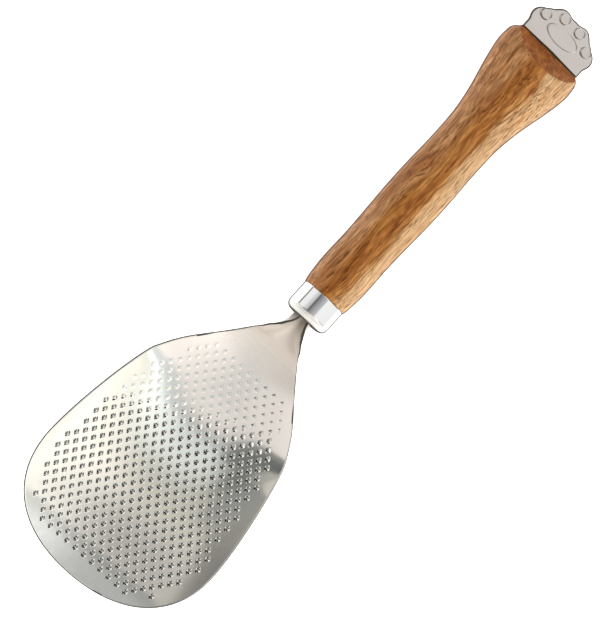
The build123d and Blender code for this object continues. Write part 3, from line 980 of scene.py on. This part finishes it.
FERRULE_SIDES = 128
LIP = 0.12 * MM
LIP_BEVEL = 0.3
END_WALL = 1.0 * MM
# Clearance of the neck in the ferrule's hole
NECK_GAP = 0.05 * MM


def make_ferrule(settings, material):
    """A cup turned from its closed end's middle, out over the lip and back inside."""
    wall, end_round, radius = settings.wall, settings.end_round, FERRULE_RADIUS

    def corner(out, bend, face_y):
        """Quarter round from the end's face to the side, as (out, y)."""
        turns = quarter(steps=8)
        return [(out - bend + bend * math.sin(turn), face_y + bend - bend * math.cos(turn)) for turn in turns]

    profile = [(0.0, FERRULE_FACE_Y)] + corner(radius, end_round, FERRULE_FACE_Y)
    profile += [(radius, FERRULE_FACE_Y + end_round + LIP), (radius, ROOT_Y - 2 * LIP)]
    bevel = LIP * LIP_BEVEL
    profile += [(radius, ROOT_Y - LIP), (radius - bevel, ROOT_Y - bevel), (radius - LIP, ROOT_Y)]
    profile += [(radius - wall + LIP, ROOT_Y), (radius - wall, ROOT_Y - LIP)]
    profile += reversed(corner(radius - wall, end_round - wall, FERRULE_FACE_Y + END_WALL))
    profile.append((0.0, FERRULE_FACE_Y + END_WALL))
    rings = [circle(out, y, FERRULE_SIDES) for out, y in profile]
    piece = new_piece("ferrule_cup", *bridge(rings), material)
    bore(piece, "neck_hole", FERRULE_FACE_Y - MM, NECK_END_Y, NECK_RADIUS + NECK_GAP, NECK_Z)
    shade_soft(piece, degrees=40)
    # The wheel doesn't reach the closed end, which stays satin up to where its round runs into the side
    satin = piece.data.attributes.new("satin", "FLOAT", "POINT")
    for vertex in piece.data.vertices:
        satin.data[vertex.index].value = 1.0 if vertex.co.y < FERRULE_FACE_Y + end_round * 0.99 else 0.0
    return piece


# Handle: oval sections that flare to the butt, planed flat at the front and back

# Distance from the ferrule's lip, half width and half thickness, in millimetres
HANDLE_STATIONS = in_metres(
    (0.0, 7.85, 7.85),
    (2.0, 8.3, 8.1),
    (9.0, 8.85, 8.4),
    (20.0, 8.75, 8.43),
    (30.0, 9.03, 8.55),
    (40.0, 9.38, 8.68),
    (50.0, 9.36, 8.7),
    (60.0, 9.1, 8.6),
    (70.0, 9.3, 8.7),
    (76.0, 9.98, 9.03),
    (82.0, 11.14, 9.5),
    (90.0, 13.06, 10.4),
    (98.0, 14.4, 11.0),
    (104.5, 13.9, 10.8),
)
FACET_LENGTH = 7.2 * MM
FACET_SEAT = 3.9 * MM
BUTT_ROUND = 2.4 * MM
ROOT_ROUND = 0.25 * MM
TENON_Y = NECK_END_Y + 0.4 * MM
TENON_RADIUS = FERRULE_RADIUS - 0.75 * MM
TENON_CHAMFER = 0.3 * MM
HANDLE_SIDES = 192
# The rings stand closer from a little before the facet, and closer still towards the butt
FACET_MARGIN = 1.2 * MM
FACET_CROWDING = 1.3
BODY_STEPS = 90
FACET_STEPS = 44
# Rings that close the butt, as shares of its outline
BUTT_SHARES = (0.985, 0.9, 0.6, 0.3, 0.0)
# Clearance round the rods in their bores, and at the bores' ends
BORE_GAP = 0.1 * MM
BORE_END_GAP = 0.5 * MM


def soft_least(first, second, blend):
    """The smaller of two lengths, with the corner between them rounded over."""
    overlap = max(blend - abs(first - second), 0.0) / blend
    return min(first, second) - overlap**2 * blend / 4


def handle_ring(from_root, settings, inset=0.0):
    """Oval section of the handle, planed flat near the butt, at a distance from the ferrule's lip."""
    half_width = through([(place, width) for place, width, _ in HANDLE_STATIONS], from_root) - inset
    half_thickness = through([(place, thick) for place, _, thick in HANDLE_STATIONS], from_root) - inset
    length = HANDLE_STATIONS[-1][0]
    slope = (HANDLE_STATIONS[-2][2] - FACET_SEAT) / FACET_LENGTH
    facet = FACET_SEAT + slope * (length - from_root)
    into_round = max(from_root - (length - BUTT_ROUND), 0.0)
    half_width -= BUTT_ROUND - math.sqrt(max(BUTT_ROUND**2 - into_round**2, 0.0))
    ring = []
    for side in range(HANDLE_SIDES):
        turn = 2 * math.pi * side / HANDLE_SIDES
        c, s = math.cos(turn), math.sin(turn)
        reach = 1 / math.sqrt((c / half_width) ** 2 + (s / half_thickness) ** 2)
        if facet < half_thickness + settings.facet_edge and abs(s) > 1e-6:
            reach = soft_least(reach, facet / abs(s), settings.facet_edge)
        ring.append((reach * c, ROOT_Y + from_root, AXIS_Z + reach * s))
    return ring


def make_handle(settings, material):
    """One turned piece: the tenon, the rounded root, the body, the facets and the flat butt, with its two bores."""
    length = HANDLE_STATIONS[-1][0]
    facet_zone = length - FACET_LENGTH - FACET_MARGIN
    rings = [[(0.0, TENON_Y, AXIS_Z)] * HANDLE_SIDES]
    for radius, y in (
        (TENON_RADIUS - TENON_CHAMFER, TENON_Y),
        (TENON_RADIUS, TENON_Y + TENON_CHAMFER),
        (TENON_RADIUS, ROOT_Y),
    ):
        rings.append(circle(radius, y, HANDLE_SIDES))
    for turn in quarter(steps=4):
        place, inset = ROOT_ROUND * (1 - math.cos(turn)), ROOT_ROUND * (1 - math.sin(turn))
        rings.append(handle_ring(place, settings, inset))
    for step in range(1, BODY_STEPS + 1):
        rings.append(handle_ring(ROOT_ROUND + (facet_zone - ROOT_ROUND) * step / BODY_STEPS, settings))
    for step in range(1, FACET_STEPS + 1):
        part = 1 - (1 - step / FACET_STEPS) ** FACET_CROWDING
        rings.append(handle_ring(facet_zone + (length - facet_zone) * part, settings))
    butt = rings[-1]
    for part in BUTT_SHARES:
        rings.append([(x * part, BUTT_Y, AXIS_Z + (z - AXIS_Z) * part) for x, _, z in butt])
    piece = new_piece("handle_wood", *bridge(rings), material)
    tang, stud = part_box("tang_rod"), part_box("cap_stud")
    bore(piece, "tang_bore", TENON_Y - MM, tang[1][1] + BORE_END_GAP, box_radius(tang) + BORE_GAP, NECK_Z)
    bore(piece, "stud_bore", stud[0][1] - BORE_END_GAP, BUTT_Y + MM, box_radius(stud) + BORE_GAP, AXIS_Z)
    shade_soft(piece, degrees=50)
    return piece


# Paw cap: a flat casting with four toes, places measured from its base

CAP_HALF_THICKNESS = 3.3 * MM
CAP_HALF_WIDTH = 12.0 * MM
CAP_HEIGHT = 13.2 * MM
CAP_BODY_HALF_HEIGHT = 7.7 * MM
VALLEY_HEIGHT = 12.7 * MM
# Place across, height over the base and radius, in millimetres
OUTER_TOE, INNER_TOE = in_metres((9.3, 5.6, 3.5), (4.0, 9.6, 3.6))
CAP_EDGE_ROUND = 0.6 * MM
VALLEY_ROUND = 1.0 * MM
# Ovals of the relief: place across and height over the base, then half width and half height, in millimetres
PAD, *TOE_PADS, TOE_PAD_SIZE = in_metres((0.0, 5.7, 6.1, 2.7), (3.2, 10.6), (8.8, 7.6), (1.95, 1.75))
TOE_LEAN = 0.55
TOE_SOFT = 0.45 * MM
PAD_SOFT = 0.25 * MM
CAP_MIDDLE_HEIGHT = 5.2 * MM
# Painted shade darkens the rounded arris from this far below the face, down to this share of its round
RIM_SHADE_START = 0.02 * MM
RIM_SHADE_SHARE = 0.6
CAP_SIDES = 360
CAP_ROWS = 64
# How far the plinth lies inside the cap's outline, and how far it reaches into the cap
PLINTH_INSET = 1.0 * MM
PLINTH_SEAT = 0.5 * MM


def cap_reach(turn):
    """Distance from the cap's middle to its outline at an angle."""
    c, s = math.cos(turn), math.sin(turn)
    middle = CAP_MIDDLE_HEIGHT

    def circle_exit(x, h, radius):
        dot = c * x + s * (h - middle)
        inside = dot**2 - (x**2 + (h - middle) ** 2 - radius**2)
        return dot + math.sqrt(inside) if inside > 0 else 0.0

    walls = [CAP_HALF_WIDTH / abs(c) if abs(c) > 1e-6 else 1.0]
    walls.append((OUTER_TOE[1] - middle) / s if s > 1e-6 else (-middle / s if s < -1e-6 else 1.0))
    reaches = [min(walls)]
    if s > 0:
        centre = VALLEY_HEIGHT - CAP_BODY_HALF_HEIGHT - middle
        a = (c / CAP_HALF_WIDTH) ** 2 + (s / CAP_BODY_HALF_HEIGHT) ** 2
        b = -s * centre / CAP_BODY_HALF_HEIGHT**2
        k = (centre / CAP_BODY_HALF_HEIGHT) ** 2 - 1
        reaches.append((-b + math.sqrt(b * b - a * k)) / a)
    for side in (-1, 1):
        for x, h, radius in (OUTER_TOE, INNER_TOE):
            reaches.append(circle_exit(side * x, h, radius))
    reaches.sort()
    best, second = reaches[-1], reaches[-2]
    return -soft_least(-best, -second, VALLEY_ROUND * 0.8)


def cap_relief(x, h, settings):
    """Height of the raised pad and toes over the casting's face."""

    def oval(cx, ch, half_width, half_height, rise, soft):
        measure = math.hypot((x - cx) / half_width, (h - ch) / half_height)
        inside = (1 - measure) * min(half_width, half_height)
        part = clamped(inside / soft)
        return rise * math.sqrt(1 - (1 - part) ** 2)

    rise = oval(*PAD, settings.pad_relief, PAD_SOFT)
    for side in (-1, 1):
        for cx, ch in TOE_PADS:
            # A toe stands up at the pad's side and runs out into the face at the cap's top
            lean = clamped(TOE_LEAN - (h - ch) / TOE_PAD_SIZE[1] / 2)
            rise = max(rise, lean * oval(side * cx, ch, *TOE_PAD_SIZE, settings.toe_relief, TOE_SOFT))
    return rise


def make_cap(settings, material):
    """Rings from the front's middle out over the rounded edge to the back's middle, with the stud's bore."""
    base_y = CAP_TOP_Y - CAP_HEIGHT
    # A ray goes through each of the two corners of the base
    corner = math.atan2(-CAP_MIDDLE_HEIGHT, CAP_HALF_WIDTH)
    other_corner = math.pi - corner
    turns = [2 * math.pi * side / CAP_SIDES + corner for side in range(CAP_SIDES)]
    nearest = min(range(CAP_SIDES), key=lambda side: abs(turns[side] - other_corner))
    turns[nearest] = other_corner
    reach = [cap_reach(turn) for turn in turns]
    edge = CAP_EDGE_ROUND

    def ring(inset, part, height):
        # Only the front's flat face has the paw in relief
        on_face = height > 0 and part <= 1.0 and inset >= edge * 0.99
        points = []
        for turn, out in zip(turns, reach):
            radius = (out - inset) * part
            x, h = radius * math.cos(turn), CAP_MIDDLE_HEIGHT + radius * math.sin(turn)
            raised = cap_relief(x, h, settings) if on_face else 0.0
            points.append((x, base_y + h, AXIS_Z + height + raised))
        return points

    rings = [ring(edge, row / CAP_ROWS, CAP_HALF_THICKNESS) for row in range(CAP_ROWS + 1)]
    for turn in quarter(steps=6)[1:]:
        rings.append(ring(edge * (1 - math.sin(turn)), 1.0, CAP_HALF_THICKNESS - edge * (1 - math.cos(turn))))
    for turn in reversed(quarter(steps=6)):
        rings.append(ring(edge * (1 - math.sin(turn)), 1.0, -CAP_HALF_THICKNESS + edge * (1 - math.cos(turn))))
    rings += [ring(edge, part, -CAP_HALF_THICKNESS) for part in (0.5, 0.0)]
    piece = new_piece("paw_casting", *bridge(rings), material)
    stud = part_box("cap_stud")
    bore(piece, "cap_bore", base_y - MM, stud[1][1] + BORE_END_GAP, box_radius(stud) + BORE_GAP, AXIS_Z)
    shade_soft(piece, degrees=50)
    # Painted shade: the edge attribute darkens a band of the rounded arris
    lines = piece.data.attributes.new("edge", "FLOAT", "POINT")
    for vertex in piece.data.vertices:
        below = CAP_HALF_THICKNESS - abs(vertex.co.z - AXIS_Z)
        lines.data[vertex.index].value = 1.0 if RIM_SHADE_START < below < RIM_SHADE_SHARE * edge else 0.0
    return piece


def make_plinth(material):
    """The step under the cap that leaves the thin dark seam."""
    low, high = BUTT_Y, CAP_TOP_Y - CAP_HEIGHT + PLINTH_SEAT
    half_width, half_thickness = CAP_HALF_WIDTH - PLINTH_INSET, CAP_HALF_THICKNESS - PLINTH_INSET
    corners = [(1, 1), (-1, 1), (-1, -1), (1, -1)]
    rings = [[(x * half_width, y, AXIS_Z + z * half_thickness) for x, z in corners] for y in (low, high)]
    points, faces = bridge(rings)
    faces += [(0, 1, 2, 3), (7, 6, 5, 4)]
    return new_piece("cap_plinth", points, faces, material)


# Studio

FALL_SLANT = 0.4
PHOTO_SIDES = (600, 625)


def make_dome(strength):
    """White studio dome: bright overhead, with grey card on the left and a dark gap low at the tip's side."""
    world = bpy.data.worlds.new("studio")
    bpy.context.scene.world = world
    world.use_nodes = True
    world.node_tree.nodes.clear()
    node = partial(add_node, world.node_tree)
    parts = node(SPLIT, [node(PLACE).outputs["Generated"]]).outputs

    def graded(value, low, high, stops):
        """Colour over a range of a value, through stops of (value, sRGB hex)."""
        stops = [((at - low) / (high - low), linear(tone)) for at, tone in stops]
        return node(RAMP, [node(RANGE, [value, low, high])], stops)

    def charted(value, low, high, least, most, stops):
        """Number over a range of a value, through stops of (value, number)."""
        chart = node("ShaderNodeFloatCurve", {"Value": node(RANGE, [value, low, high])})
        line = chart.mapping.curves[0]
        places = [((at - low) / (high - low), (number - least) / (most - least)) for at, number in stops]
        line.points[0].location, line.points[1].location = places[0], places[-1]
        for place in places[1:-1]:
            line.points.new(*place)
        for point in line.points:
            point.handle_type = "VECTOR"
        chart.mapping.update()
        return node(RANGE, {"Value": chart, "To Min": least, "To Max": most})

    def past(*limits):
        """Share from 0 to 1 of being past every limit, each as (value, where it begins, where it is full)."""
        share_past, *others = [node(RANGE, limit, **SOFT) for limit in limits]
        for other in others:
            share_past = node(MATHS, [share_past, other], operation="MULTIPLY")
        return share_past

    across, along = (
        node(MATHS, [node(MATHS, [parts[axis], parts["Z"]], operation="ARCTAN2"), 180 / math.pi], operation="MULTIPLY")
        for axis in "XY"
    )

    # Overhead the light falls off from the right to the left, on a slant, and its colour changes along the paddle
    fall_stops = [
        (-20, 1.1), (-13, 1.1), (-9, 1.04), (-4, 0.96), (1, 0.98), (6, 1.0), (9, 1.03), (12, 1.1), (17, 1.3),
        (22, 1.65), (30, 1.9), (38, 2.1), (45, 1.3), (70, 0.8),
    ]
    slanted = node(MATHS, [along, FALL_SLANT, across], operation="MULTIPLY_ADD")
    fall = charted(slanted, -20.0, 70.0, 0.0, 3.0, fall_stops)
    band_stops = [
        (-14, "#F8F0E8"), (-10, "#F6EEE7"), (-9, "#E8E1DB"), (-8, "#CBCAC6"), (-6, "#C8CDCB"), (-4.7, "#F4FAF6"),
        (-3.8, "#EEF2EA"), (-2.8, "#CCCCC1"), (-1, "#D6D1C4"), (0, "#E0DACC"), (1, "#DDD8CD"), (1.7, "#D2CDC4"),
        (2.3, "#B8B5AD"), (3, "#909290"), (3.6, "#BABAB6"), (4, "#D0D0CE"), (9, "#E4E2DA"),
    ]
    light = node(VECTORS, {0: graded(along, -14.0, 12.0, band_stops), "Scale": fall}, operation="SCALE")

    # A grey card hangs on the left; its edge leans, and is darkest close to that edge
    card_stops = [
        (-14, -10), (-12, -8), (-9, 0), (-8, 4), (-7, 3), (-6, 2.2), (-5, 2.7), (-4, -1), (-3, -2.5), (-2, -5.5),
        (-1, -5.5), (0, -10.5), (1, -13.5), (1.5, -16), (2, -19), (6, -21),
    ]
    inside = node(MATHS, [charted(along, -14.0, 6.0, -30.0, 10.0, card_stops), across], operation="SUBTRACT")
    near_stops = [
        (-8, "#8E8E8A"), (-7, "#7A7A77"), (-5, "#6B6F6D"), (-3, "#6B6F6D"), (-2, "#9A9C99"), (0, "#96958F"),
        (0.8, "#85827B"), (2, "#8E8C86"),
    ]
    near = graded(along, -8.0, 4.0, near_stops)
    tone = node(MIX, {0: past((inside, 6.0, 16.0)), 6: near, 7: linear("#747876")}, data_type="RGBA")
    card = past((inside, -1.5, 1.0), (across, -51.0, -49.0), (along, 18.0, 12.0))

    # Low down at both sides of the tip it is nearly black
    aside = node(MATHS, [parts["X"]], operation="ABSOLUTE")
    low = past((parts["Y"], -0.27, -0.32), (aside, 0.06, 0.14), (parts["Z"], 0.22, 0.32))

    # High up two grey flags darken the far walls of the pillows, save at the field's left side
    flags = [past((parts["X"], -0.1, -0.2)), past((parts["X"], 0.2, 0.3), (parts["X"], 0.95, 0.88))]
    flag = node(MATHS, flags, operation="MAXIMUM")
    high = node(MATHS, [past((parts["Y"], 0.3, 0.4)), flag], operation="MULTIPLY")

    # Past the zenith hangs a strip of its own, whose flags give the ferrule its lengthwise stripes
    strip = past((parts["Y"], 0.0765, 0.081), (parts["Y"], 0.14, 0.125))
    strip_stops = [
        (-90, "#ECEDEC"), (-86, "#8E908E"), (-81, "#8E908E"), (-78, "#FFFFFF"), (-55, "#FAFAFA"), (-32, "#C2C2C2"),
        (-28, "#6F7072"), (-22, "#6F7072"), (-19, "#8A8A8C"), (12, "#C8C8CA"), (16, "#FFFFFF"),
    ]
    stripes = graded(across, -90.0, 20.0, strip_stops)
    layers = [(card, tone), (low, linear("#232420")), (high, linear("#5A5E5A")), (strip, stripes)]
    for part, shade in layers:
        light = node(MIX, {0: part, 6: light, 7: shade}, data_type="RGBA")
    node("ShaderNodeOutputWorld", [node("ShaderNodeBackground", {"Color": light, "Strength": strength})])


def make_floor(settings):
    """Pale paper sweep under the paddle, lit from below its surface so that it reads as white."""
    material, node = new_material("white_paper_sweep")
    place = node(PLACE).outputs["Object"]
    fibre = node(NOISE, {"Vector": place, "Scale": 1 / (1.5 * MM), "Detail": 2})
    tone = node(MIX, {0: fibre, 6: dimmed(settings.floor, 0.99), 7: settings.floor}, data_type="RGBA")
    glow = node("ShaderNodeEmission", {"Color": tone, "Strength": 1.0})
    node(OUTPUT, [node("ShaderNodeAddShader", [node(MATTE, [tone]), glow])])
    half = settings.floor_side / 2
    mesh = bpy.data.meshes.new("floor")
    mesh.from_pydata([(-half, -half, 0), (half, -half, 0), (half, half, 0), (-half, half, 0)], [], [(0, 1, 2, 3)])
    mesh.materials.append(material)
    floor = new_object("floor", mesh)


def make_lights():
    """One large soft box, up and to the tip's side, so that the facet at the butt stays darker."""
    lamp = bpy.data.lights.new("key_box", "AREA")
    lamp.shape = "RECTANGLE"
    lamp.size, lamp.size_y = 0.7, 0.5
    lamp.energy = 6.0
    lamp.color = linear("#FFF9F0")[:3]
    key = new_object("key_box", lamp)
    key.location = (0.5, -0.5, 0.9)
    key.rotation_euler = (-key.location).to_track_quat("-Z", "Y").to_euler()
    key.visible_glossy = False


def make_camera(settings):
    """Camera over the paddle, turned about its long axis, tilted to its tip and rolled as in the photo."""
    back = Vector(
        (
            -math.sin(settings.turn) * math.cos(settings.tilt),
            -math.sin(settings.tilt),
            math.cos(settings.turn) * math.cos(settings.tilt),
        )
    )
    along = Vector((0, 1, 0))
    level_up = (along - back * back.y).normalized()
    level_right = level_up.cross(back)
    up = level_up * math.cos(settings.roll) - level_right * math.sin(settings.roll)
    right = level_right * math.cos(settings.roll) + level_up * math.sin(settings.roll)
    target = Vector((settings.target_x, settings.target_y, settings.target_z))
    lens = bpy.data.cameras.new("camera")
    lens.sensor_width = 36.0
    lens.lens = lens.sensor_width * settings.distance / (settings.view_height * max(PHOTO_SIDES) / PHOTO_SIDES[1])
    lens.clip_start, lens.clip_end = 0.01, 20.0
    camera = new_object("camera", lens)
    turned = Matrix((right, up, back)).transposed().to_4x4()
    camera.matrix_world = Matrix.Translation(target + back * settings.distance) @ turned
    bpy.context.scene.camera = camera


# Operators


class PaddleBlade(bpy.types.Operator):
    """Build the stamped blade with its pressed pillows and rolled neck"""

    bl_idname = "paddle.blade"
    bl_label = "Blade"

    def execute(self, context):
        settings = context.scene.paddle_blade
        steel = polished_steel(
            "polished_stainless_sheet", settings.steel, settings.roughness, 0.25, 0.6, 1.0, "#4E4F4D", "#ECE2DA"
        )
        seat(make_blade(settings, steel), "blade_steel", "blade")
        return {"FINISHED"}


class PaddleFerrule(bpy.types.Operator):
    """Build the drawn ferrule"""

    bl_idname = "paddle.ferrule"
    bl_label = "Ferrule"

    def execute(self, context):
        settings = context.scene.paddle_ferrule
        steel = polished_steel(
            "mirror_polished_stainless", settings.steel, settings.roughness, 0.4, 0.58, 0.82, "#606160", "#FFFFFF"
        )
        seat(make_ferrule(settings, steel), "ferrule_steel", "ferrule")
        return {"FINISHED"}


class PaddleHandle(bpy.types.Operator):
    """Build the wooden handle"""

    bl_idname = "paddle.handle"
    bl_label = "Handle"

    def execute(self, context):
        settings = context.scene.paddle_handle
        seat(make_handle(settings, oiled_acacia(settings)), "handle_wood", "handle")
        return {"FINISHED"}


class PaddleCap(bpy.types.Operator):
    """Build the cast paw cap and its plinth"""

    bl_idname = "paddle.cap"
    bl_label = "Paw cap"

    def execute(self, context):
        settings = context.scene.paddle_cap
        nickel = satin_nickel(settings)
        seat(make_cap(settings, nickel), "cap_metal", "paw_cap")
        plinth = make_plinth(nickel)
        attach(plinth, BODY)
        return {"FINISHED"}


class PaddleRods(bpy.types.Operator):
    """Finish the tang rod and the cap's stud, which stay as they were packed"""

    bl_idname = "paddle.rods"
    bl_label = "Tang and stud"

    def execute(self, context):
        steel = drawn_steel()
        for name in ("tang_rod", "cap_stud"):
            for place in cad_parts[name].material_slots:
                place.material = steel
        return {"FINISHED"}


class PaddleStage(bpy.types.Operator):
    """Set up the floor, the light and the camera"""

    bl_idname = "paddle.stage"
    bl_label = "Studio"

    def execute(self, context):
        settings = context.scene.paddle_stage
        make_dome(settings.dome)
        make_floor(settings)
        make_lights()
        make_camera(settings)
        context.scene.view_settings.view_transform = "Standard"
        return {"FINISHED"}


class PaddlePanel(bpy.types.Panel):
    """Lists the paddle's pieces and their settings"""

    bl_idname = "PADDLE_PT_panel"
    bl_label = "Rice Paddle"
    bl_space_type = "VIEW_3D"
    bl_region_type = "UI"
    bl_category = "Paddle"

    def draw(self, context):
        for operator, group in PANEL_ROWS:
            box = self.layout.box()
            box.operator(operator.bl_idname)
            settings = getattr(context.scene, group, None)
            for name in getattr(settings, "__annotations__", {}):
                box.prop(settings, name)


PANEL_ROWS = [
    (PaddleStage, "paddle_stage"),
    (PaddleBlade, "paddle_blade"),
    (PaddleFerrule, "paddle_ferrule"),
    (PaddleHandle, "paddle_handle"),
    (PaddleCap, "paddle_cap"),
    (PaddleRods, ""),
]
SETTINGS = {
    "paddle_blade": BladeSettings,
    "paddle_ferrule": FerruleSettings,
    "paddle_handle": HandleSettings,
    "paddle_cap": CapSettings,
    "paddle_stage": StageSettings,
}


def register():
    for kind in [*SETTINGS.values(), *(operator for operator, _ in PANEL_ROWS), PaddlePanel]:
        bpy.utils.register_class(kind)
    for name, kind in SETTINGS.items():
        setattr(bpy.types.Scene, name, PointerProperty(type=kind))


def unregister():
    for name in SETTINGS:
        delattr(bpy.types.Scene, name)
    for kind in [PaddlePanel, *(operator for operator, _ in PANEL_ROWS), *SETTINGS.values()]:
        bpy.utils.unregister_class(kind)


def main():
    register()
    for operator, _ in PANEL_ROWS:
        group, name = operator.bl_idname.split(".")
        if getattr(getattr(bpy.ops, group), name)() != {"FINISHED"}:
            raise RuntimeError(f"{operator.bl_label} could not be built")


if __name__ == "__main__":
    main()
